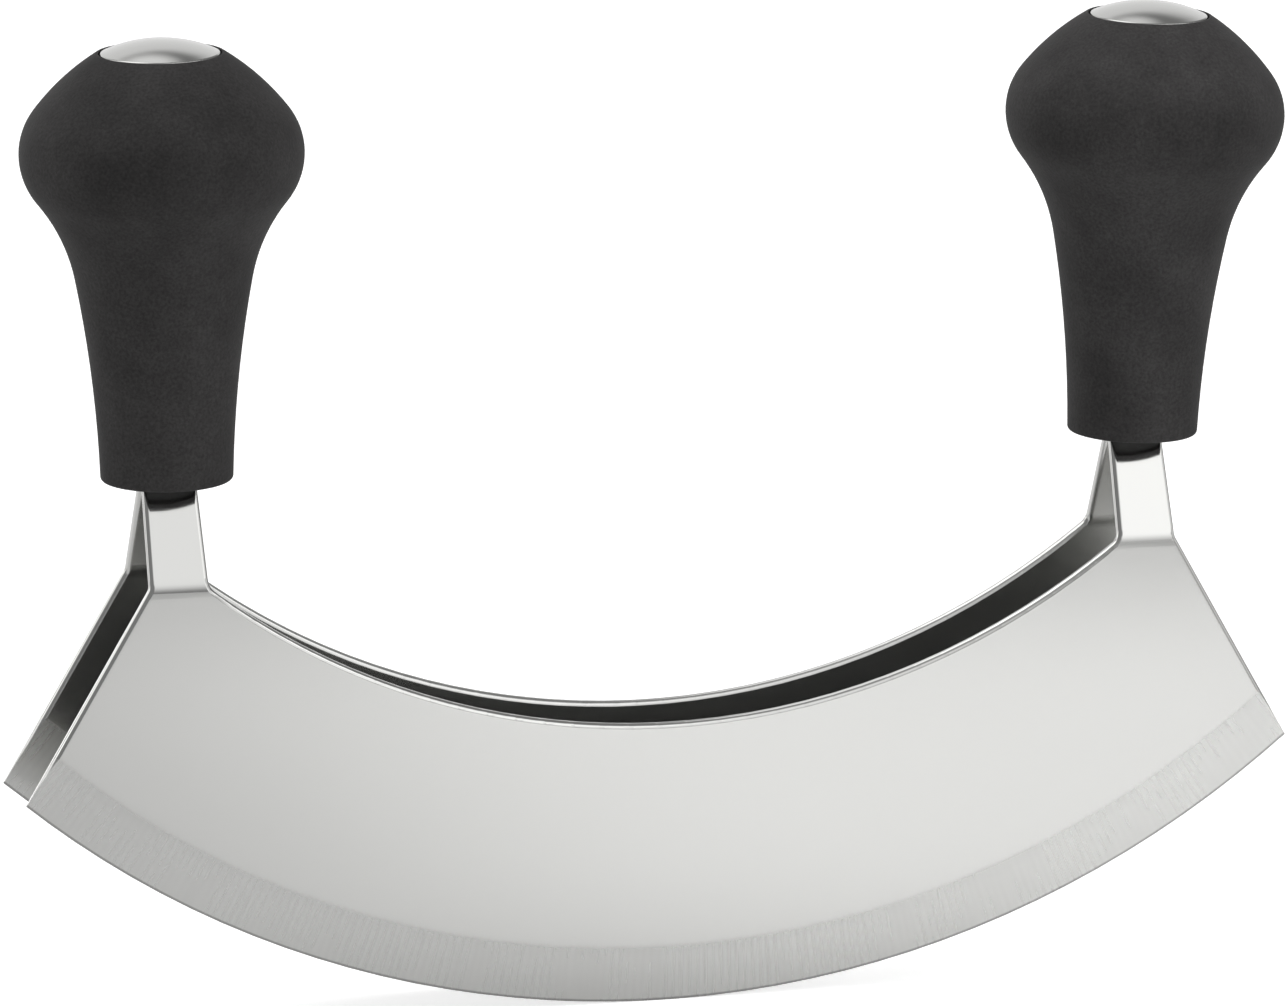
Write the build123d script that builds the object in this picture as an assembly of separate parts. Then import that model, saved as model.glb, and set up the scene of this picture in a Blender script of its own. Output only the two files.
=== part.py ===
from build123d import *
import math
import os

# Double-bladed mezzaluna. Millimetres, +Z up, +X along the blades, -Y towards the front blade.
# The origin lies where the cutting edges touch a board, midway between the two blades.

# Blades seen from the front
blade_span = 210.0
edge_radius = 163.8
inner_radius = 121.9
blade_depth = 45.9
horn_reach = 24.65
crotch_rounding = 2.4
hip_rounding = 2.0
shoulder_rounding = 12.0

# Blade sheet and its grind
sheet = 1.8
blade_gap = 14.1
outer_grind_width = 9.4
inner_grind_width = 12.5
edge_thickness = 0.4
margin_rounding_share = 0.46
margin_tolerance_share = 0.04
crossing_share = 0.9

# Necks and tangs
neck_height = 15.95
neck_foot_width = 9.7
neck_width = 8.9
fold_radius = 5.5
return_radius = 3.0
tang_gap = 0.1
tang_length = 38.0
tang_rounding = 1.5

# Grip outline, as radius and height from the foot
knob_splay_degrees = 1.1
mouth_wall = 2.2
belly_radius = 22.42
crown_lip = 0.35
foot_rounding = 0.6
crown_rounding = 0.25
foot_draft_degrees = 1.5
waist_radius_share = 0.625
waist_height_share = 0.475
flare_radius_share = 0.884
flare_height_share = 0.658
belly_height_share = 0.755
shoulder_radius_share = 0.901
shoulder_height_share = 0.864

# Mouth seal
seal_thickness = 1.8
seal_setback = 0.5

# Core
core_radius = 7.0
core_floor = 1.6
flange_step = 1.2
flange_thickness = 4.2
flat_step = 0.3

# Cross pins
pin_radius = 2.0
pin_chamfer = 0.3
lower_pin_rise = 7.4
upper_pin_drop = 8.0

# Insert, screw and washer
insert_wall = 1.0
insert_length = 8.0
insert_setback = 0.3
insert_groove_width = 1.2
insert_groove_depth = 0.4
screw_radius = 2.45
screw_end_gap = 2.3
head_radius = 4.6
head_height = 3.4
head_rounding = 1.2
socket_radius = 1.7
socket_depth = 2.0
washer_step = 0.8
washer_thickness = 1.0

# Web and pocket at the top of the grip
web_thickness = 4.9
pocket_margin = 0.8
pocket_depth = 11.8

# Cap
cap_radius = 9.45
cap_rise = 2.1
cap_sheet = 0.8
cap_skirt = 3.4
cap_rounding = 0.35
cap_groove_depth = 0.9
cap_groove_width = 0.3

# Clearances
running_clearance = 0.1
press_clearance = 0.02
soft_clearance = 0.2
overrun = 5.0

# Blades, worked out from the sizes above
half_span = blade_span / 2
half_spacing = half_span - horn_reach
hip_x = half_spacing + neck_foot_width / 2
crotch_x = half_spacing - neck_foot_width / 2
half_outer = blade_gap / 2 + sheet
half_tangs = tang_gap / 2 + sheet
margin_rounding = sheet * margin_rounding_share
tip_height = edge_radius - math.sqrt(edge_radius**2 - half_span**2)
crest_centre = blade_depth + inner_radius
fold_height = crest_centre - math.sqrt(inner_radius**2 - crotch_x**2)
knob_foot_height = fold_height + neck_height
neck_lean = math.atan2(half_outer - half_tangs, neck_height)
splay = math.radians(knob_splay_degrees)

# Heights in the knob, from its foot upwards
core_foot = seal_setback + seal_thickness + running_clearance
flange_top = core_foot + flange_thickness
lower_pin_height = flange_top + lower_pin_rise
upper_pin_height = tang_length - upper_pin_drop
insert_foot = tang_length + running_clearance + core_floor
insert_top = insert_foot + insert_length
core_top = insert_top + insert_setback
web_foot = core_top + running_clearance
web_top = web_foot + web_thickness
head_foot = web_top + washer_thickness
cap_seat = web_top + pocket_depth
cap_foot = cap_seat + running_clearance
grip_length = cap_foot + cap_skirt

# Radii in the knob
flange_radius = core_radius + flange_step
flange_bore = flange_radius + running_clearance
foot_radius = flange_bore + mouth_wall
screw_bore = screw_radius + soft_clearance
insert_bore = screw_radius + running_clearance / 2
insert_radius = insert_bore + insert_wall
washer_radius = head_radius + washer_step
pocket_radius = washer_radius + pocket_margin
groove_radius = cap_radius + cap_groove_width
crown_radius = groove_radius + crown_lip


def knob_point(side, out, up):
    """Front-view point of a knob's leaning frame: out from its axis, up from its foot."""
    x = half_spacing + up * math.sin(splay) + out * math.cos(splay)
    z = knob_foot_height + up * math.cos(splay) - out * math.sin(splay)
    return side * x, z


def stand(shape, side):
    """Puts a shape made upright on the origin into the knob on one side."""
    foot = (side * half_spacing, 0, knob_foot_height)
    return Location(foot, (0, side * knob_splay_degrees, 0)) * shape


def drum(radius, foot, top):
    """An upright cylinder between two heights."""
    return Pos(0, 0, foot) * Cylinder(radius, top - foot, align=(Align.CENTER, Align.CENTER, Align.MIN))


def cross_drum(radius, length, x, z):
    """A cylinder that lies along Y."""
    return Location((x, 0, z), (90, 0, 0)) * Cylinder(radius, length)


def blade_outline():
    """Front view of one blade: crescent, necks and tangs in one closed outline."""
    half = neck_width / 2

    def side_points(side):
        return [
            (side * half_span, tip_height),
            (side * hip_x, fold_height),
            knob_point(side, half, 0),
            knob_point(side, half, tang_length),
            knob_point(side, -half, tang_length),
            knob_point(side, -half, 0),
            (side * crotch_x, fold_height),
        ]

    right = side_points(1)
    left = side_points(-1)
    edge = ThreePointArc(left[0], (0, 0), right[0])
    crest = ThreePointArc(right[-1], (0, blade_depth), left[-1])
    face = make_face(edge + Polyline(*right) + crest + Polyline(*left))
    roundings = [
        (1, hip_rounding),
        (2, shoulder_rounding),
        (3, tang_rounding),
        (4, tang_rounding),
        (5, shoulder_rounding),
        (6, crotch_rounding),
    ]
    for points in (right, left):
        for index, radius in roundings:
            spot = Vector(*points[index])
            corner = face.vertices().sort_by(lambda v: (Vector(*v) - spot).length)[0]
            face = fillet(corner, radius)
    return face


def bent_section():
    """Side view of the front blade's sheet: upright, leaning in at the neck, upright in the knob.

    The sheet folds where the neck leaves the blade and folds back as it enters the knob.
    """
    mitre = sheet * math.tan(neck_lean / 2)
    top = knob_foot_height + tang_length + overrun
    outer = [
        (-half_outer, -overrun),
        (-half_outer, fold_height),
        (-half_tangs, knob_foot_height),
        (-half_tangs, top),
    ]
    inner = [
        (sheet - half_outer, -overrun),
        (sheet - half_outer, fold_height - mitre),
        (sheet - half_tangs, knob_foot_height - mitre),
        (sheet - half_tangs, top),
    ]
    outer_line = FilletPolyline(*outer, radius=[fold_radius + sheet, return_radius])
    inner_line = FilletPolyline(*inner, radius=[fold_radius, return_radius + sheet])
    ends = Line(outer[0], inner[0]) + Line(outer[-1], inner[-1])
    return make_face(outer_line + inner_line + ends)


def grind_ring(face_y, inward, grind_width):
    """The metal that a wheel takes off one face along the cutting edge, as a ring about its centre."""
    bite_per_length = (sheet - edge_thickness) / 2 / grind_width
    deepest = face_y + inward * bite_per_length * (grind_width + overrun)
    clear = face_y - inward * overrun
    corners = [(face_y, grind_width), (deepest, -overrun), (clear, -overrun), (clear, grind_width)]
    wedge = make_face(Polyline(*corners, close=True))
    return revolve(Plane.YZ * wedge, Axis((0, 0, edge_radius), (0, 1, 0)))


def front_blade():
    """One bent sheet with rounded margins, two ground faces and the cross-pin holes."""
    outline = blade_outline()
    reach = half_outer + overrun
    pattern = extrude(Plane.XZ * outline, amount=reach, both=True)
    bar = extrude(Plane.YZ * bent_section(), amount=half_span + overrun, both=True)
    blade = pattern & bar
    blade = round_margins(blade, outline)
    blade -= grind_ring(-half_outer, 1, outer_grind_width)
    blade -= grind_ring(sheet - half_outer, -1, inner_grind_width)
    for side in (-1, 1):
        for height in (lower_pin_height, upper_pin_height):
            x, z = knob_point(side, 0, height)
            blade -= cross_drum(pin_radius + running_clearance, half_outer * 2, x, z)
    return blade


def round_margins(blade, outline):
    """Rounds both sides of the sheet all along its margin, apart from the cutting edge."""
    margin = (Plane.XZ * outline).faces()[0].outer_wire()
    edge_centre = Vector(0, 0, edge_radius)
    tolerance = sheet * margin_tolerance_share
    lines = []
    for line in blade.edges():
        middle = line @ 0.5
        flat_middle = Vector(middle.X, 0, middle.Z)
        crosses_sheet = abs((line % 0.5).Y) > crossing_share
        on_margin = margin.distance_to(flat_middle) < tolerance
        on_edge = abs((flat_middle - edge_centre).length - edge_radius) < tolerance
        if on_margin and not crosses_sheet and not on_edge:
            lines.append(line)
    return fillet(lines, margin_rounding)


def grip_outline():
    """Right half of the knob's outline, from the middle of its foot to the middle of its crown."""
    points = [
        (foot_radius, 0),
        (belly_radius * waist_radius_share, grip_length * waist_height_share),
        (belly_radius * flare_radius_share, grip_length * flare_height_share),
        (belly_radius, grip_length * belly_height_share),
        (belly_radius * shoulder_radius_share, grip_length * shoulder_height_share),
        (crown_radius, grip_length),
    ]
    draft = math.radians(foot_draft_degrees)
    heading = Vector(math.sin(draft), math.cos(draft))
    outline = Curve()
    for start, end in zip(points, points[1:]):
        arc = TangentArc(start, end, tangent=heading)
        heading = arc % 1
        outline += arc
    outline += Polyline(points[-1], (0, grip_length), (0, 0), points[0])
    return outline


def keyed_disc(radius, reach, foot, top):
    """A disc with two flats that keep the knob from turning on its core, each at a reach from the axis."""
    slab = Box(radius * 2, reach * 2, top - foot, align=(Align.CENTER, Align.CENTER, Align.MIN))
    return drum(radius, foot, top) & (Pos(0, 0, foot) * slab)


def grip():
    """The moulded knob, with its mouth, core bore, web, screw pocket and cap seat."""
    face = make_face(grip_outline())
    foot_corner = face.vertices().sort_by(lambda v: (Vector(*v) - Vector(foot_radius, 0)).length)[0]
    face = fillet(foot_corner, foot_rounding)
    crown = Vector(crown_radius, grip_length)
    crown_corner = face.vertices().sort_by(lambda v: (Vector(*v) - crown).length)[0]
    face = fillet(crown_corner, crown_rounding)
    body = revolve(Plane.XZ * face, Axis.Z)
    key_reach = core_radius + flat_step + running_clearance
    body -= drum(flange_bore, -overrun, core_foot)
    body -= keyed_disc(flange_bore, key_reach, core_foot, flange_top + running_clearance)
    body -= drum(core_radius + running_clearance, core_foot, web_foot)
    body -= drum(screw_bore, web_foot, web_top)
    body -= drum(pocket_radius, web_top, cap_seat)
    body -= drum(cap_radius + press_clearance, cap_seat, grip_length + overrun)
    body -= drum(groove_radius, grip_length - cap_groove_depth, grip_length + overrun)
    return body


def seal():
    """Rubber disc at the mouth, slit for the pair of necks."""
    disc = drum(flange_radius, seal_setback, seal_setback + seal_thickness)
    slit = Box(neck_width + soft_clearance * 2, (half_tangs + soft_clearance) * 2, core_top)
    return disc - slit


def core():
    """Hard moulded core: keyed flange, slotted stem, pin holes and insert bore."""
    body = drum(core_radius, core_foot, core_top)
    body += keyed_disc(flange_radius, core_radius + flat_step, core_foot, flange_top)
    slot_width = neck_width + running_clearance * 2
    slot_depth = (half_tangs + running_clearance) * 2
    body -= Box(slot_width, slot_depth, (tang_length + running_clearance) * 2)
    body -= drum(insert_radius + press_clearance, insert_foot, core_top)
    for height in (lower_pin_height, upper_pin_height):
        body -= cross_drum(pin_radius + press_clearance, core_radius * 2, 0, height)
    return body


def cross_pin(height):
    """Steel dowel through core and tangs, as long as the core is wide at the dowel's flanks."""
    pin = Cylinder(pin_radius, math.sqrt(core_radius**2 - pin_radius**2) * 2)
    pin = chamfer(pin.edges().filter_by(GeomType.CIRCLE), pin_chamfer)
    return Location((0, 0, height), (90, 0, 0)) * pin


def insert():
    """Brass threaded insert with a groove round its middle, which holds it in the core."""
    middle = (insert_foot + insert_top) / 2
    half_groove = insert_groove_width / 2
    groove = drum(insert_radius + overrun, middle - half_groove, middle + half_groove)
    groove -= drum(insert_radius - insert_groove_depth, insert_foot, insert_top)
    sleeve = drum(insert_radius, insert_foot, insert_top) - drum(insert_bore, insert_foot, insert_top)
    return sleeve - groove


def screw():
    """Pan-head screw with a hexagon socket."""
    head_top = head_foot + head_height
    head = drum(head_radius, head_foot, head_top)
    head = fillet(head.edges().sort_by(Axis.Z)[-1], head_rounding)
    socket = extrude(Pos(0, 0, head_top - socket_depth) * RegularPolygon(socket_radius, 6), socket_depth)
    return head + drum(screw_radius, insert_foot + screw_end_gap, head_foot) - socket


def washer():
    """Flat washer between the web and the screw's head."""
    return drum(washer_radius, web_top, head_foot) - drum(screw_bore, web_top, head_foot)


def cap():
    """Domed disc with a short skirt, pressed from sheet."""
    dome_radius = (cap_radius**2 + cap_rise**2) / (cap_rise * 2)
    top = grip_length + cap_rise
    inside = cap_radius - cap_sheet
    inside_rim = top - dome_radius + math.sqrt((dome_radius - cap_sheet) ** 2 - inside**2)
    outer_dome = TangentArc((0, top), (cap_radius, grip_length), tangent=(1, 0))
    inner_dome = TangentArc((0, top - cap_sheet), (inside, inside_rim), tangent=(1, 0))
    rim = (cap_radius, grip_length)
    skirt = Polyline(rim, (cap_radius, cap_foot), (inside, cap_foot), (inside, inside_rim))
    face = make_face(outer_dome + skirt + inner_dome + Line((0, top), (0, top - cap_sheet)))
    rim_corner = face.vertices().sort_by(lambda v: (Vector(*v) - Vector(*rim)).length)[0]
    return revolve(Plane.XZ * fillet(rim_corner, cap_rounding), Axis.Z)


def knob_pieces(side, name):
    """Every separate piece of one knob."""
    pieces = {
        "grip": grip(),
        "seal": seal(),
        "core": core(),
        "lower_pin": cross_pin(lower_pin_height),
        "upper_pin": cross_pin(upper_pin_height),
        "insert": insert(),
        "screw": screw(),
        "washer": washer(),
        "cap": cap(),
    }
    return {f"{name}_{piece}": stand(shape, side) for piece, shape in pieces.items()}


def main():
    blade = front_blade()
    nodes = {"front_blade": blade, "rear_blade": mirror(blade, about=Plane.XZ)}
    nodes.update(knob_pieces(-1, "left"))
    nodes.update(knob_pieces(1, "right"))
    os.makedirs("parts", exist_ok=True)
    for node, shape in nodes.items():
        export_step(shape, f"parts/{node}.step")


main()
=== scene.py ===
"""Finishes for a double-bladed mezzaluna and a plain pale studio to show it in.

Metres throughout: +X along the blades, -Y towards the front blade, +Z up from the cutting edges.
"""

import math

import bpy
from bpy.props import FloatProperty, FloatVectorProperty, PointerProperty
from bpy.types import Operator, Panel, PropertyGroup
from mathutils import Matrix, Vector


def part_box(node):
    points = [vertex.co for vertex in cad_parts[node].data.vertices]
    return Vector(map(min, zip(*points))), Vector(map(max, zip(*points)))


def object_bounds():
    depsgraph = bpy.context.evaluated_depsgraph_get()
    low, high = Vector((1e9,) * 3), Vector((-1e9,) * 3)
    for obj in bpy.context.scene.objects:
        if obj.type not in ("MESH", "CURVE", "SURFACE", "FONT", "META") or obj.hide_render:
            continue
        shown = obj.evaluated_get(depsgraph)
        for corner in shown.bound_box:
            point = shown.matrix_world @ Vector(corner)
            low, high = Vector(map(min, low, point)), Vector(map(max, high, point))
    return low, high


bl_info = {
    "name": "Double-bladed Mezzaluna",
    "version": (1, 0, 0),
    "blender": (4, 5, 0),
    "location": "3D View > Sidebar > Mezzaluna",
    "description": "Steel, plastic, rubber and brass finishes for the mezzaluna, and a pale studio",
    "category": "Object",
}

MM = 0.001
SIDES = ("left", "right")

# Softboxes: name, where each hangs and what it faces in metres, width, height, spread, watts.
# The narrow spread is a gridded softbox over the floor, whose light the front blade mirrors.
SOFTBOXES = (
    ("overhead_softbox", (0.0, -0.06, 1.25), (0, 0, 0.079), 1.1, 0.8, 180, 2.4),
    ("right_softbox", (0.36, -0.42, 0.33), (0.08, 0, 0.079), 0.4, 0.6, 180, 0.27),
    ("left_softbox", (-0.29, 0.555, 0.126), (-0.098, 0, 0.046), 0.16, 0.2, 180, 0.16),
    ("gridded_softbox", (0.11, -0.15, 0.35), (0.11, -0.15, 0), 0.26, 0.28, 34, 0.145),
)

# Mirrors don't see these, which would stand in the domed caps as patches with hard edges
OVERHEAD = ("overhead_softbox", "gridded_softbox")

# White panels of the light tent: name, azimuth, elevation, degrees from there to full and to no
# light, strength. Azimuth 0 is in front of the chopper, 90 on its right.
PANELS = (
    ("front_right", 22, 34, 8, 34, 0.9),
    ("front_high", -10, 62, 6, 36, 0.15),
    ("upper_left", -110, 58, 6, 28, 1.9),
    ("right_edge", 80, 8, 5, 20, 0.8),
    ("left_edge", -112, 18, 8, 20, 1.5),
    ("crest_edge", 62, 33, 4, 14, 1.2),
    ("back_high", -172, 63, 9, 24, 0.95),
)

# Degrees from straight behind, and above the horizon, where the backdrop's sides and top fade
BACKDROP_TURNS = (35, 60)
BACKDROP_HEIGHTS = (36, 50)

# Half the floor's side, and the depths along Y between which mirrors come to see its lift
HALF_FLOOR = 8.0
LIFT_DEPTHS = (-0.01, 0.06)

# What lifts the floor's paper to white for the eye, and the share of it that mirrors see
LIFT = 0.6
MIRRORED_SHARE = 0.4

# Where nearly all values of a noise texture lie
NOISE_SPAN = {"From Min": 0.3, "From Max": 0.7}

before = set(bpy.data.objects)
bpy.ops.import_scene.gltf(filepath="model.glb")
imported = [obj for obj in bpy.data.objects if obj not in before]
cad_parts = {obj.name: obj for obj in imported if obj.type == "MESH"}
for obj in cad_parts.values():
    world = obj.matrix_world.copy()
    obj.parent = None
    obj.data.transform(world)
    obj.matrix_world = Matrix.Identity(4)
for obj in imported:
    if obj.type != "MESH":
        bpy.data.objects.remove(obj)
cad_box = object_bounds()


def linear(hex_colour):
    """The linear RGBA colour of an sRGB hex value."""
    channels = [int(hex_colour[i : i + 2], 16) / 255 for i in (1, 3, 5)]
    knee, toe = 0.04045, 12.92
    offset, gamma = 0.055, 2.4
    raised = [c / toe if c <= knee else ((c + offset) / (1 + offset)) ** gamma for c in channels]
    return (*raised, 1.0)


def middle(node):
    """The centre of a CAD node's box."""
    low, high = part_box(node)
    return (low + high) / 2


def heading(azimuth, elevation):
    """The direction at an azimuth and an elevation in radians; azimuth 0 is straight in front."""
    level = math.cos(elevation)
    return Vector((math.sin(azimuth) * level, -math.cos(azimuth) * level, math.sin(elevation)))


class BladeSettings(PropertyGroup):
    """Stainless sheet of both blades."""

    steel: FloatVectorProperty(
        name="Steel",
        description="Colour that the satin-polished stainless sheet reflects",
        subtype="COLOR",
        size=4,
        min=0,
        max=1,
        default=linear("#CDCDCB"),
    )
    edge_radius: FloatProperty(
        name="Edge radius",
        description="Radius of the cutting edge's arc, seen from the front",
        default=163.8 * MM,
        unit="LENGTH",
    )
    outer_grind: FloatProperty(
        name="Outer grind width",
        description="Width of the ground band on the outer faces",
        default=9.4 * MM,
        unit="LENGTH",
    )
    inner_grind: FloatProperty(
        name="Inner grind width",
        description="Width of the ground band on the faces that look at each other",
        default=12.5 * MM,
        unit="LENGTH",
    )
    hone: FloatProperty(
        name="Hone width",
        description="Width of the honed line at the cutting edge itself",
        default=0.5 * MM,
        unit="LENGTH",
    )
    streak_pitch: FloatProperty(
        name="Streak pitch",
        description="Spacing of the wheel's streaks across the ground band",
        default=1.35 * MM,
        unit="LENGTH",
    )
    polish_grain: FloatProperty(
        name="Polish grain",
        description="Spacing of the satin polish's hairlines",
        default=0.25 * MM,
        unit="LENGTH",
    )


class GripSettings(PropertyGroup):
    """Moulded plastic of both knobs."""

    plastic: FloatVectorProperty(
        name="Plastic",
        description="Colour of the black polypropylene",
        subtype="COLOR",
        size=4,
        min=0,
        max=1,
        default=linear("#383737"),
    )
    texture_grain: FloatProperty(
        name="Texture grain",
        description="Grain of the spark-eroded mould texture",
        default=0.5 * MM,
        unit="LENGTH",
    )


class CapSettings(PropertyGroup):
    """Polished steel of both caps."""

    steel: FloatVectorProperty(
        name="Steel",
        description="Colour that the mirror-polished stainless cap reflects",
        subtype="COLOR",
        size=4,
        min=0,
        max=1,
        default=linear("#BABAB8"),
    )
    ring_pitch: FloatProperty(
        name="Ring pitch",
        description="Spacing of the faint rings that spin polishing leaves",
        default=0.3 * MM,
        unit="LENGTH",
    )


class StageSettings(PropertyGroup):
    """Floor, light and camera."""

    floor: FloatVectorProperty(
        name="Floor",
        description="Colour of the paper that the chopper stands on",
        subtype="COLOR",
        size=4,
        min=0,
        max=1,
        default=linear("#E8E8E8"),
    )
    room: FloatProperty(
        name="Room",
        description="Strength of the even light from all round",
        default=0.275,
        min=0,
    )
    azimuth: FloatProperty(
        name="Azimuth",
        description="Camera's turn about the vertical; 0 looks along +Y",
        default=math.radians(-16.45),
        unit="ROTATION",
    )
    elevation: FloatProperty(
        name="Elevation",
        description="Camera's height above the horizon",
        default=math.radians(12.48),
        unit="ROTATION",
    )
    roll: FloatProperty(
        name="Roll",
        description="Camera's turn about its own line of sight",
        default=math.radians(0.72),
        unit="ROTATION",
    )
    distance: FloatProperty(
        name="Distance",
        description="From the camera to the point that it looks at",
        default=1765 * MM,
        unit="LENGTH",
    )
    target: FloatVectorProperty(
        name="Target",
        description="The point that the camera looks at",
        subtype="TRANSLATION",
        size=3,
        default=(-1.82 * MM, 0.0, 80.15 * MM),
    )
    lens: FloatProperty(
        name="Lens",
        description="Focal length in millimetres on a sensor 36 mm wide",
        default=308.5,
        unit="CAMERA",
    )


def add_node(tree, kind, inputs=None, output=0, **settings):
    """Adds a node with its settings, gives each input a value or a link, and returns one output."""
    node = tree.nodes.new(f"ShaderNode{kind}")
    for name, value in settings.items():
        setattr(node, name, value)
    for key, value in (inputs or {}).items():
        if isinstance(value, bpy.types.NodeSocket):
            tree.links.new(value, node.inputs[key])
        else:
            node.inputs[key].default_value = value
    return node.outputs[output] if node.outputs else None


def new_material(name):
    """An empty material and its node tree."""
    material = bpy.data.materials.new(name)
    material.use_nodes = True
    material.node_tree.nodes.clear()
    return material, material.node_tree


def edge_place(tree, point, edge_radius):
    """How far a point lies along the cutting edge's arc, and how far inland of it."""
    x, _, z = add_node(tree, "SeparateXYZ", {0: point}).node.outputs
    from_centre = {0: point, 1: (0, 0, edge_radius)}
    from_centre = add_node(tree, "VectorMath", from_centre, operation="SUBTRACT")
    flat = add_node(tree, "VectorMath", {0: from_centre, 1: (1, 0, 1)}, operation="MULTIPLY")
    radius = add_node(tree, "VectorMath", {0: flat}, "Value", operation="LENGTH")
    inland = add_node(tree, "Math", {0: edge_radius, 1: radius}, operation="SUBTRACT")
    drop = add_node(tree, "Math", {0: edge_radius, 1: z}, operation="SUBTRACT")
    turn = add_node(tree, "Math", {0: x, 1: drop}, operation="ARCTAN2")
    along = add_node(tree, "Math", {0: turn, 1: edge_radius}, operation="MULTIPLY")
    return along, inland


def wheel_streaks(tree, streak_pitch, along, y, inland):
    """The wheel's chatter marks, about 0.5, across the ground band.

    They keep an even pitch that drifts a little, come and go along the band, and have fine
    scratches between them.
    """
    drift_length, drift_turn = 24 * MM, 5.0
    fading_length, weakest, chatter_depth = 11 * MM, 0.15, 0.13
    scratches_per_streak, scratch_stretch = 1.4, 0.03

    lap = add_node(tree, "CombineXYZ", {0: along, 1: y})
    drift = {"Vector": lap, "Scale": 1 / drift_length, "Detail": 1.0}
    drift = add_node(tree, "TexNoise", drift)
    turns = add_node(tree, "Math", {0: along, 1: math.tau / streak_pitch}, operation="MULTIPLY")
    phase = add_node(tree, "Math", {0: drift, 1: drift_turn, 2: turns}, operation="MULTIPLY_ADD")
    chatter = add_node(tree, "Math", {0: phase}, operation="SINE")
    place = add_node(tree, "CombineXYZ", {0: along, 1: y, 2: inland})
    strength = {"Vector": place, "Scale": 1 / fading_length, "Detail": 2.0}
    strength = add_node(tree, "TexNoise", strength)
    strength = {0: strength, "From Min": 0.38, "From Max": 0.62, "To Min": weakest, "To Max": 1.0}
    strength = add_node(tree, "MapRange", strength)
    chatter = add_node(tree, "Math", {0: chatter, 1: strength}, operation="MULTIPLY")
    slow_inland = add_node(tree, "Math", {0: inland, 1: scratch_stretch}, operation="MULTIPLY")
    place = add_node(tree, "CombineXYZ", {0: along, 1: y, 2: slow_inland})
    scratches = {"Vector": place, "Scale": scratches_per_streak / streak_pitch, "Detail": 0.5}
    scratches = add_node(tree, "TexNoise", scratches)
    scratches = {0: scratches, "From Min": 0.2, "From Max": 0.8, "To Min": 0.44, "To Max": 0.56}
    scratches = add_node(tree, "MapRange", scratches)
    streaks = {0: chatter, 1: chatter_depth, 2: scratches}
    return add_node(tree, "Math", streaks, operation="MULTIPLY_ADD")


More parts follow.
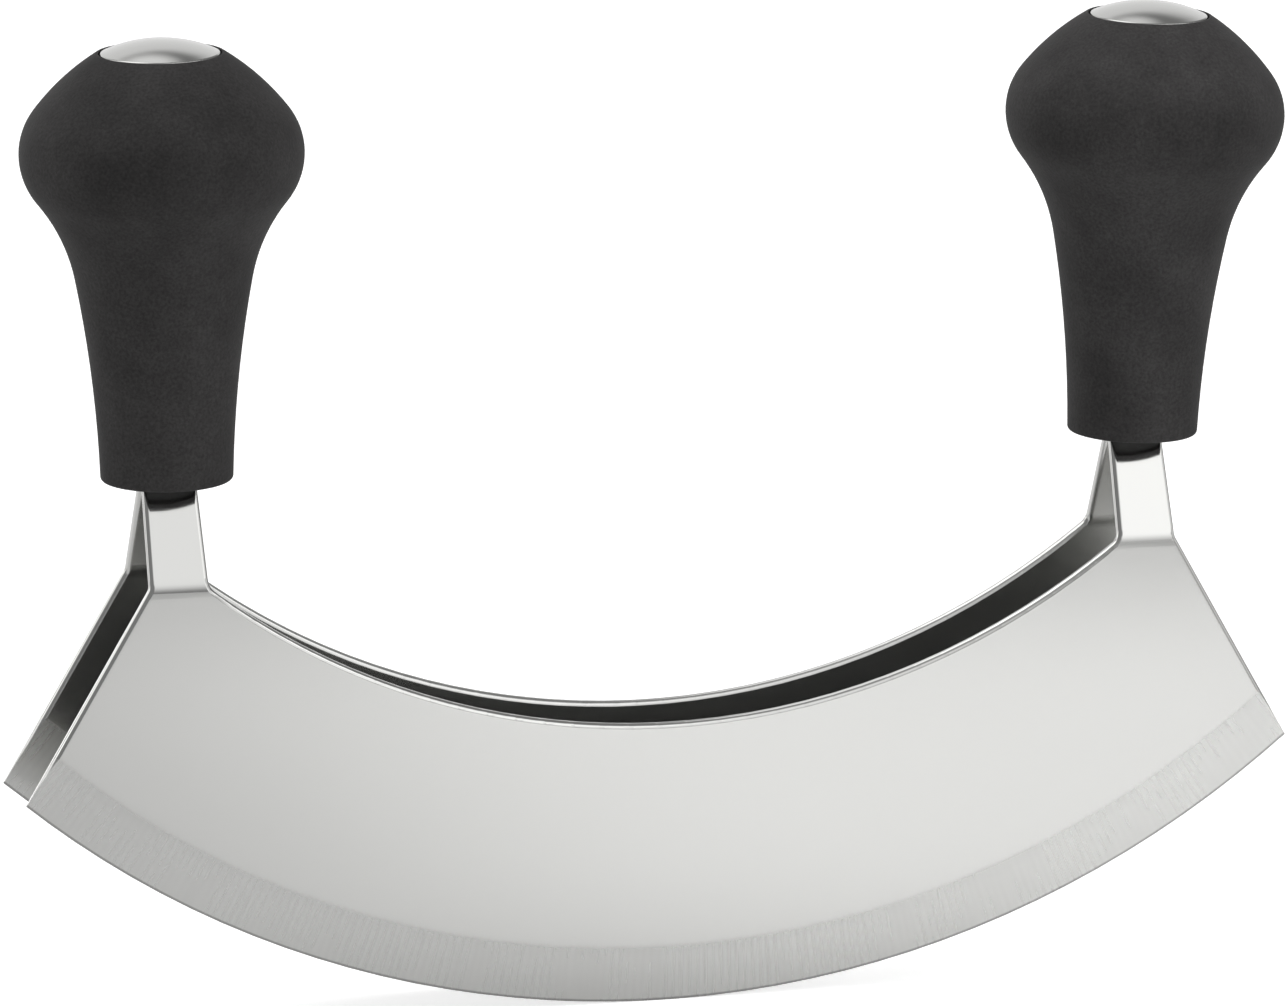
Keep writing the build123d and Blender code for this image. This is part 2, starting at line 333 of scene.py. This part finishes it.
def satin_polished_stainless_sheet(blades):
    """Cold-rolled stainless sheet, satin polished, with its cutting edge ground on a wheel.

    The polish gives a clear mirror with faint hairlines along the blade, and a duller one on the
    faces that look at each other, where the belt hardly reaches. The wheel leaves a dull band with
    short streaks that all point at the edge. Along the cutting edge, where the hone is, a thin
    darker line of painted shade is drawn into the colour.
    """
    limit_above, limit_below = 0.2 * MM, -0.6 * MM
    # Painted shade: the ground band is drawn a little darker from 3 mm to 0.3 mm inside its limit
    shade_from, shade_to, shade_tone = -3.0 * MM, -0.3 * MM, 0.97
    # The first value is how dark the painted shade along the honed cutting edge is drawn
    painted_hone_shade_tone, inner_dullness = 0.55, 0.12
    cloud_length, cloud_dullness = 18 * MM, 0.03
    hairline_stretch, relief_depth = 0.03, 0.006 * MM

    material, tree = new_material("satin_polished_stainless_sheet")
    point = add_node(tree, "TexCoord", output="Object")
    y = add_node(tree, "SeparateXYZ", {0: point}, "Y")
    facing = add_node(tree, "TexCoord", output="Normal")
    facing_y = add_node(tree, "SeparateXYZ", {0: facing}, "Y")
    outward = add_node(tree, "Math", {0: y, 1: facing_y}, operation="MULTIPLY")
    outside = add_node(tree, "Math", {0: outward, 1: 0.0}, operation="GREATER_THAN")
    along, inland = edge_place(tree, point, blades.edge_radius)
    streaks = wheel_streaks(tree, blades.streak_pitch, along, y, inland)

    # Which part of the blade a point is on: 1 on the ground band, and 1 on the honed line
    grind_width = {0: outside, 2: blades.inner_grind, 3: blades.outer_grind}
    grind_width = add_node(tree, "Mix", grind_width)
    from_limit = add_node(tree, "Math", {0: inland, 1: grind_width}, operation="SUBTRACT")
    ground = {0: from_limit, "From Min": limit_below, "From Max": limit_above}
    ground.update({"To Min": 1.0, "To Max": 0.0})
    ground = add_node(tree, "MapRange", ground, interpolation_type="SMOOTHSTEP")
    honed = {0: inland, "From Min": blades.hone / 2, "From Max": blades.hone}
    honed.update({"To Min": 1.0, "To Max": 0.0})
    honed = add_node(tree, "MapRange", honed, interpolation_type="SMOOTHSTEP")

    # Hairlines of the belt along the blade, drawn coarser than its 180 grit so that they show
    stretch = {0: point, 1: (hairline_stretch, 1, 1)}
    stretch = add_node(tree, "VectorMath", stretch, operation="MULTIPLY")
    hairs = {"Vector": stretch, "Scale": 1 / blades.polish_grain, "Detail": 3.0, "Roughness": 0.6}
    hairs = add_node(tree, "TexNoise", hairs)
    clouds = {"Vector": point, "Scale": 1 / cloud_length, "Detail": 2.0}
    clouds = add_node(tree, "TexNoise", clouds)

    polished = add_node(tree, "MapRange", {0: hairs, **NOISE_SPAN, "To Min": 0.06, "To Max": 0.09})
    polished = {0: clouds, 1: cloud_dullness, 2: polished}
    polished = add_node(tree, "Math", polished, operation="MULTIPLY_ADD")
    dull = add_node(tree, "Mix", {0: outside, 2: inner_dullness, 3: 0.0})
    polished = add_node(tree, "Math", {0: polished, 1: dull}, operation="ADD")
    rough = add_node(tree, "MapRange", {0: streaks, **NOISE_SPAN, "To Min": 0.26, "To Max": 0.3})
    roughness = add_node(tree, "Mix", {0: ground, 2: polished, 3: rough})

    tone = {0: streaks, "From Min": 0.35, "From Max": 0.65, "To Min": 0.972, "To Max": 1.028}
    tone = add_node(tree, "MapRange", tone)
    # Painted shade: the ground band's colour darkens slightly towards its upper limit
    shade = {0: from_limit, "From Min": shade_from, "From Max": shade_to}
    shade.update({"To Min": 1.0, "To Max": shade_tone})
    shade = add_node(tree, "MapRange", shade, interpolation_type="SMOOTHSTEP")
    tone = add_node(tree, "Math", {0: tone, 1: shade}, operation="MULTIPLY")
    tone = add_node(tree, "Mix", {0: ground, 2: 1.0, 3: tone})
    # Painted shade: the colour is darkened along the honed cutting edge
    tone = add_node(tree, "Mix", {0: honed, 2: tone, 3: painted_hone_shade_tone})
    colour = {0: blades.steel[:3], "Scale": tone}
    colour = add_node(tree, "VectorMath", colour, operation="SCALE")

    faint_hairs = add_node(tree, "Math", {0: hairs, 1: 0.2}, operation="MULTIPLY")
    faint_streaks = {0: streaks, 1: 0.1, 2: 0.05}
    faint_streaks = add_node(tree, "Math", faint_streaks, operation="MULTIPLY_ADD")
    relief = add_node(tree, "Mix", {0: ground, 2: faint_hairs, 3: faint_streaks})
    relief = add_node(tree, "Bump", {"Height": relief, "Distance": relief_depth, "Strength": 1.0})
    look = {"Base Color": colour, "Metallic": 1.0, "Roughness": roughness, "Normal": relief}
    steel = add_node(tree, "BsdfPrincipled", look)
    add_node(tree, "OutputMaterial", {"Surface": steel})
    return material


def spark_textured_polypropylene(grips):
    """Black polypropylene, injection moulded in a spark-eroded tool.

    The tool's fine even grain breaks up the gloss, so light spreads into a wide dim sheen. The real
    grain is near 0.1 mm, and it is drawn coarser so that it shows.
    """
    flow_length, flow_dullness, grain_depth = 14 * MM, 0.1, 0.07 * MM

    material, tree = new_material("spark_textured_polypropylene")
    point = add_node(tree, "TexCoord", output="Object")
    grain = {"Vector": point, "Scale": 1 / grips.texture_grain, "Detail": 3.0, "Roughness": 0.6}
    grain = add_node(tree, "TexNoise", grain)
    flow = {"Vector": point, "Scale": 1 / flow_length, "Detail": 3.0, "Roughness": 0.55}
    flow = add_node(tree, "TexNoise", flow)
    roughness = add_node(tree, "MapRange", {0: grain, **NOISE_SPAN, "To Min": 0.6, "To Max": 0.7})
    roughness = {0: flow, 1: flow_dullness, 2: roughness}
    roughness = add_node(tree, "Math", roughness, operation="MULTIPLY_ADD")
    patches = add_node(tree, "MapRange", {0: flow, **NOISE_SPAN, "To Min": 0.76, "To Max": 1.24})
    specks = add_node(tree, "MapRange", {0: grain, **NOISE_SPAN, "To Min": 0.75, "To Max": 1.25})
    tone = add_node(tree, "Math", {0: patches, 1: specks}, operation="MULTIPLY")
    colour = {0: grips.plastic[:3], "Scale": tone}
    colour = add_node(tree, "VectorMath", colour, operation="SCALE")
    relief = add_node(tree, "Bump", {"Height": grain, "Distance": grain_depth, "Strength": 1.0})
    look = {
        "Base Color": colour,
        "Roughness": roughness,
        "IOR": 1.49,
        "Specular IOR Level": 0.1,
        "Normal": relief,
    }
    plastic = add_node(tree, "BsdfPrincipled", look)
    add_node(tree, "OutputMaterial", {"Surface": plastic})
    return material


def spin_polished_stainless_cap(caps, centre):
    """Stainless cap, pressed from sheet, then mirror polished as it spun, which leaves rings."""
    smear_length, smear_dullness, ring_depth = 3 * MM, 0.06, 0.001 * MM

    material, tree = new_material("spin_polished_stainless_cap")
    point = add_node(tree, "TexCoord", output="Object")
    offset = add_node(tree, "VectorMath", {0: point, 1: centre}, operation="SUBTRACT")
    flat = add_node(tree, "VectorMath", {0: offset, 1: (1, 1, 0)}, operation="MULTIPLY")
    radius = add_node(tree, "VectorMath", {0: flat}, "Value", operation="LENGTH")
    ring_place = add_node(tree, "CombineXYZ", {0: radius})
    rings = {"Vector": ring_place, "Scale": 1 / caps.ring_pitch, "Roughness": 0.6}
    rings = add_node(tree, "TexNoise", rings)
    smears = {"Vector": offset, "Scale": 1 / smear_length, "Detail": 3.0}
    smears = add_node(tree, "TexNoise", smears)
    roughness = add_node(tree, "MapRange", {0: rings, **NOISE_SPAN, "To Min": 0.08, "To Max": 0.12})
    roughness = {0: smears, 1: smear_dullness, 2: roughness}
    roughness = add_node(tree, "Math", roughness, operation="MULTIPLY_ADD")
    relief = add_node(tree, "Bump", {"Height": rings, "Distance": ring_depth, "Strength": 1.0})
    look = {"Base Color": caps.steel, "Metallic": 1.0, "Roughness": roughness, "Normal": relief}
    steel = add_node(tree, "BsdfPrincipled", look)
    add_node(tree, "OutputMaterial", {"Surface": steel})
    return material


def glass_filled_nylon():
    """Dark glass-filled nylon, moulded; short fibres at its surface leave it dull and mottled."""
    fibre_length, fibre_depth = 0.4 * MM, 0.03 * MM

    material, tree = new_material("glass_filled_nylon")
    point = add_node(tree, "TexCoord", output="Object")
    fibres = {"Vector": point, "Scale": 1 / fibre_length, "Detail": 5.0, "Roughness": 0.75}
    fibres = add_node(tree, "TexNoise", fibres)
    tone = {0: fibres, "From Min": 0.35, "From Max": 0.7, "To Min": 0.85, "To Max": 1.25}
    tone = add_node(tree, "MapRange", tone)
    colour = {0: linear("#2C2C2E")[:3], "Scale": tone}
    colour = add_node(tree, "VectorMath", colour, operation="SCALE")
    roughness = add_node(tree, "MapRange", {0: fibres, **NOISE_SPAN, "To Min": 0.5, "To Max": 0.65})
    relief = add_node(tree, "Bump", {"Height": fibres, "Distance": fibre_depth, "Strength": 1.0})
    look = {"Base Color": colour, "Roughness": roughness, "IOR": 1.53, "Normal": relief}
    nylon = add_node(tree, "BsdfPrincipled", look)
    add_node(tree, "OutputMaterial", {"Surface": nylon})
    return material


def moulded_nitrile_rubber():
    """Black nitrile rubber, moulded; its bloom makes it greyer and quite dull."""
    bloom_length, bloom_depth = 1.5 * MM, 0.02 * MM

    material, tree = new_material("moulded_nitrile_rubber")
    point = add_node(tree, "TexCoord", output="Object")
    bloom = {"Vector": point, "Scale": 1 / bloom_length, "Detail": 4.0, "Roughness": 0.6}
    bloom = add_node(tree, "TexNoise", bloom)
    tone = add_node(tree, "MapRange", {0: bloom, **NOISE_SPAN, "To Min": 0.8, "To Max": 1.4})
    colour = {0: linear("#1B1B1B")[:3], "Scale": tone}
    colour = add_node(tree, "VectorMath", colour, operation="SCALE")
    roughness = add_node(tree, "MapRange", {0: bloom, **NOISE_SPAN, "To Min": 0.65, "To Max": 0.8})
    relief = add_node(tree, "Bump", {"Height": bloom, "Distance": bloom_depth, "Strength": 1.0})
    look = {"Base Color": colour, "Roughness": roughness, "IOR": 1.52, "Normal": relief}
    rubber = add_node(tree, "BsdfPrincipled", look)
    add_node(tree, "OutputMaterial", {"Surface": rubber})
    return material


def machined_metal(name, colour, low, high):
    """Bright metal with fine tool lines in no one direction, from a low to a high roughness."""
    line_pitch, line_depth = 0.2 * MM, 0.003 * MM

    material, tree = new_material(name)
    point = add_node(tree, "TexCoord", output="Object")
    lines = {"Vector": point, "Scale": 1 / line_pitch, "Detail": 3.0, "Roughness": 0.7}
    lines = add_node(tree, "TexNoise", lines)
    roughness = add_node(tree, "MapRange", {0: lines, **NOISE_SPAN, "To Min": low, "To Max": high})
    relief = add_node(tree, "Bump", {"Height": lines, "Distance": line_depth, "Strength": 1.0})
    look = {
        "Base Color": linear(colour),
        "Metallic": 1.0,
        "Roughness": roughness,
        "Normal": relief,
    }
    metal = add_node(tree, "BsdfPrincipled", look)
    add_node(tree, "OutputMaterial", {"Surface": metal})
    return material


def dress(node, material):
    """Gives a CAD node one material."""
    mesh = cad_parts[node].data
    mesh.materials.clear()
    mesh.materials.append(material)


class MEZZALUNA_OT_blades(Operator):
    """Finish the two blades in satin-polished, ground stainless sheet"""

    bl_idname = "mezzaluna.blades"
    bl_label = "Finish Blades"

    def execute(self, context):
        steel = satin_polished_stainless_sheet(context.scene.mezzaluna_blades)
        for node in ("front_blade", "rear_blade"):
            dress(node, steel)
        return {"FINISHED"}


class MEZZALUNA_OT_grips(Operator):
    """Finish the two moulded knobs"""

    bl_idname = "mezzaluna.grips"
    bl_label = "Finish Grips"

    def execute(self, context):
        plastic = spark_textured_polypropylene(context.scene.mezzaluna_grips)
        for side in SIDES:
            dress(f"{side}_grip", plastic)
        return {"FINISHED"}


class MEZZALUNA_OT_caps(Operator):
    """Finish the two domed steel caps"""

    bl_idname = "mezzaluna.caps"
    bl_label = "Finish Caps"

    def execute(self, context):
        for side in SIDES:
            node = f"{side}_cap"
            dress(node, spin_polished_stainless_cap(context.scene.mezzaluna_caps, middle(node)))
        return {"FINISHED"}


class MEZZALUNA_OT_fittings(Operator):
    """Finish the pieces inside the knobs: cores, seals, pins, inserts, screws and washers"""

    bl_idname = "mezzaluna.fittings"
    bl_label = "Finish Fittings"

    def execute(self, context):
        dowel_steel = machined_metal("ground_stainless_dowel", "#C9C9C8", 0.16, 0.26)
        screw_steel = machined_metal("cold_headed_stainless", "#BDBDBC", 0.25, 0.38)
        finishes = {
            "core": glass_filled_nylon(),
            "seal": moulded_nitrile_rubber(),
            "lower_pin": dowel_steel,
            "upper_pin": dowel_steel,
            "insert": machined_metal("turned_brass", "#D9B66A", 0.2, 0.32),
            "screw": screw_steel,
            "washer": screw_steel,
        }
        for side in SIDES:
            for piece, material in finishes.items():
                dress(f"{side}_{piece}", material)
        return {"FINISHED"}


def eye_and_mirrors(tree):
    """Whether a ray comes from the camera, and whether it comes off a mirror or through glass."""
    ray = add_node(tree, "LightPath").node.outputs
    either = {0: ray["Is Glossy Ray"], 1: ray["Is Transmission Ray"]}
    return ray["Is Camera Ray"], add_node(tree, "Math", either, operation="MAXIMUM")


def pale_paper(colour):
    """Matt pale paper that takes the chopper's shadow, and shows as white where no shadow falls.

    The eye sees it lifted to white all over, and steel and glass see some of that lift, behind the
    chopper. The chopper itself gets no light from it.
    """
    material, tree = new_material("matt_pale_paper")
    eye, mirrored = eye_and_mirrors(tree)
    place = add_node(tree, "NewGeometry")
    y = add_node(tree, "SeparateXYZ", {0: place}, "Y")
    start, end = LIFT_DEPTHS
    depth = {0: y, "From Min": start, "From Max": end, "To Min": 0.0, "To Max": MIRRORED_SHARE}
    depth = add_node(tree, "MapRange", depth, interpolation_type="SMOOTHSTEP")
    mirrored = add_node(tree, "Math", {0: mirrored, 1: depth}, operation="MULTIPLY")
    seen = add_node(tree, "Math", {0: eye, 1: mirrored}, operation="MAXIMUM")
    strength = add_node(tree, "Math", {0: seen, 1: LIFT}, operation="MULTIPLY")
    paper = add_node(tree, "BsdfDiffuse", {"Color": colour})
    lift = add_node(tree, "Emission", {"Strength": strength})
    both = add_node(tree, "AddShader", {0: paper, 1: lift})
    add_node(tree, "OutputMaterial", {"Surface": both})
    return material


def backdrop_extent(tree, toward):
    """1 toward the white backdrop behind the chopper, and 0 past its sides and its top."""
    full, none = (math.cos(math.radians(angle)) for angle in BACKDROP_TURNS)
    behind = heading(math.pi, 0)
    nearness = {0: toward, 1: behind}
    nearness = add_node(tree, "VectorMath", nearness, "Value", operation="DOT_PRODUCT")
    width = {0: nearness, "From Min": none, "From Max": full}
    width = add_node(tree, "MapRange", width, interpolation_type="SMOOTHSTEP")
    full, none = (math.sin(math.radians(angle)) for angle in BACKDROP_HEIGHTS)
    rise = add_node(tree, "SeparateXYZ", {0: toward}, "Z")
    height = {0: rise, "From Min": full, "From Max": none, "To Min": 1.0, "To Max": 0.0}
    height = add_node(tree, "MapRange", height, interpolation_type="SMOOTHSTEP")
    return add_node(tree, "Math", {0: width, 1: height}, operation="MULTIPLY")


def light_tent(scene, room):
    """White panels round the chopper, over an even light, and a white backdrop behind it.

    The eye sees plain white all round. Glossy surfaces see the backdrop white too, and past it the
    panels and the dimmer cloth between them.
    """
    world = bpy.data.worlds.new("light_tent")
    world.use_nodes = True
    tree = world.node_tree
    tree.nodes.clear()
    toward = add_node(tree, "TexCoord", output="Generated")
    light = room
    for name, azimuth, elevation, full, none, strength in PANELS:
        centre = heading(math.radians(azimuth), math.radians(elevation))
        nearness = {0: toward, 1: centre}
        nearness = add_node(tree, "VectorMath", nearness, "Value", operation="DOT_PRODUCT")
        panel = {
            0: nearness,
            "From Min": math.cos(math.radians(none)),
            "From Max": math.cos(math.radians(full)),
            "To Min": 0.0,
            "To Max": strength,
        }
        panel = add_node(tree, "MapRange", panel, interpolation_type="SMOOTHSTEP", label=name)
        light = add_node(tree, "Math", {0: light, 1: panel}, operation="ADD")
    white = (1, 1, 1, 1)
    tent = add_node(tree, "Background", {"Color": white, "Strength": light})

    eye, mirrored = eye_and_mirrors(tree)
    backdrop = backdrop_extent(tree, toward)
    mirrored = add_node(tree, "Math", {0: mirrored, 1: backdrop}, operation="MULTIPLY")
    seen = add_node(tree, "Math", {0: eye, 1: mirrored}, operation="MAXIMUM")
    backdrop = {"Color": white, "Strength": 1.0}
    backdrop = add_node(tree, "Background", backdrop, label="backdrop")
    surface = add_node(tree, "MixShader", {0: seen, 1: tent, 2: backdrop})
    add_node(tree, "OutputWorld", {"Surface": surface})
    scene.world = world


def add_softbox(scene, name, place, faces, width, height, spread, power):
    """A rectangular softbox at a place, facing a point."""
    light = bpy.data.lights.new(name, "AREA")
    light.shape = "RECTANGLE"
    light.size = width
    light.size_y = height
    light.spread = math.radians(spread)
    light.energy = power
    lamp = bpy.data.objects.new(name, light)
    lamp.location = place
    lamp.rotation_euler = (Vector(place) - Vector(faces)).to_track_quat("Z", "Y").to_euler()
    lamp.visible_camera = False
    lamp.visible_glossy = name not in OVERHEAD
    scene.collection.objects.link(lamp)


def add_camera(scene, stage):
    """The camera, turned, raised and rolled round its target."""
    back = heading(stage.azimuth, stage.elevation)
    level = Vector((math.cos(stage.azimuth), math.sin(stage.azimuth), 0))
    right = level * math.cos(stage.roll) + back.cross(level) * math.sin(stage.roll)
    turn = Matrix((right, back.cross(right), back)).transposed().to_4x4()
    data = bpy.data.cameras.new("camera")
    data.lens = stage.lens
    data.sensor_width = 36.0
    camera = bpy.data.objects.new("camera", data)
    camera.matrix_world = Matrix.Translation(Vector(stage.target) + back * stage.distance) @ turn
    scene.collection.objects.link(camera)
    scene.camera = camera


class MEZZALUNA_OT_stage(Operator):
    """Lay the floor, hang the lights and set the camera"""

    bl_idname = "mezzaluna.stage"
    bl_label = "Set Stage"

    def execute(self, context):
        scene = context.scene
        stage = scene.mezzaluna_stage
        low, _ = cad_box

        signs = [(-1, -1), (1, -1), (1, 1), (-1, 1)]
        corners = [(x * HALF_FLOOR, y * HALF_FLOOR, low.z) for x, y in signs]
        mesh = bpy.data.meshes.new("floor")
        mesh.from_pydata(corners, [], [(0, 1, 2, 3)])
        mesh.materials.append(pale_paper(stage.floor))
        floor = bpy.data.objects.new("floor", mesh)
        scene.collection.objects.link(floor)

        light_tent(scene, stage.room)
        for softbox in SOFTBOXES:
            add_softbox(scene, *softbox)
        add_camera(scene, stage)
        scene.view_settings.view_transform = "Standard"
        return {"FINISHED"}


class MEZZALUNA_PT_sidebar(Panel):
    bl_idname = "MEZZALUNA_PT_sidebar"
    bl_label = "Mezzaluna"
    bl_space_type = "VIEW_3D"
    bl_region_type = "UI"
    bl_category = "Mezzaluna"

    def draw(self, context):
        for group, operator in STEPS:
            box = self.layout.box()
            settings = getattr(context.scene, f"mezzaluna_{group}", None)
            if settings is not None:
                for name in settings.__annotations__:
                    box.prop(settings, name)
            box.operator(operator.bl_idname)


SETTINGS = {
    "blades": BladeSettings,
    "grips": GripSettings,
    "caps": CapSettings,
    "stage": StageSettings,
}
STEPS = (
    ("blades", MEZZALUNA_OT_blades),
    ("grips", MEZZALUNA_OT_grips),
    ("caps", MEZZALUNA_OT_caps),
    ("fittings", MEZZALUNA_OT_fittings),
    ("stage", MEZZALUNA_OT_stage),
)


def register():
    for group, settings in SETTINGS.items():
        bpy.utils.register_class(settings)
        setattr(bpy.types.Scene, f"mezzaluna_{group}", PointerProperty(type=settings))
    for _, operator in STEPS:
        bpy.utils.register_class(operator)
    bpy.utils.register_class(MEZZALUNA_PT_sidebar)


def unregister():
    bpy.utils.unregister_class(MEZZALUNA_PT_sidebar)
    for _, operator in reversed(STEPS):
        bpy.utils.unregister_class(operator)
    for group, settings in reversed(SETTINGS.items()):
        delattr(bpy.types.Scene, f"mezzaluna_{group}")
        bpy.utils.unregister_class(settings)


def main():
    register()
    for group, _ in STEPS:
        getattr(bpy.ops.mezzaluna, group)()


if __name__ == "__main__":
    main()
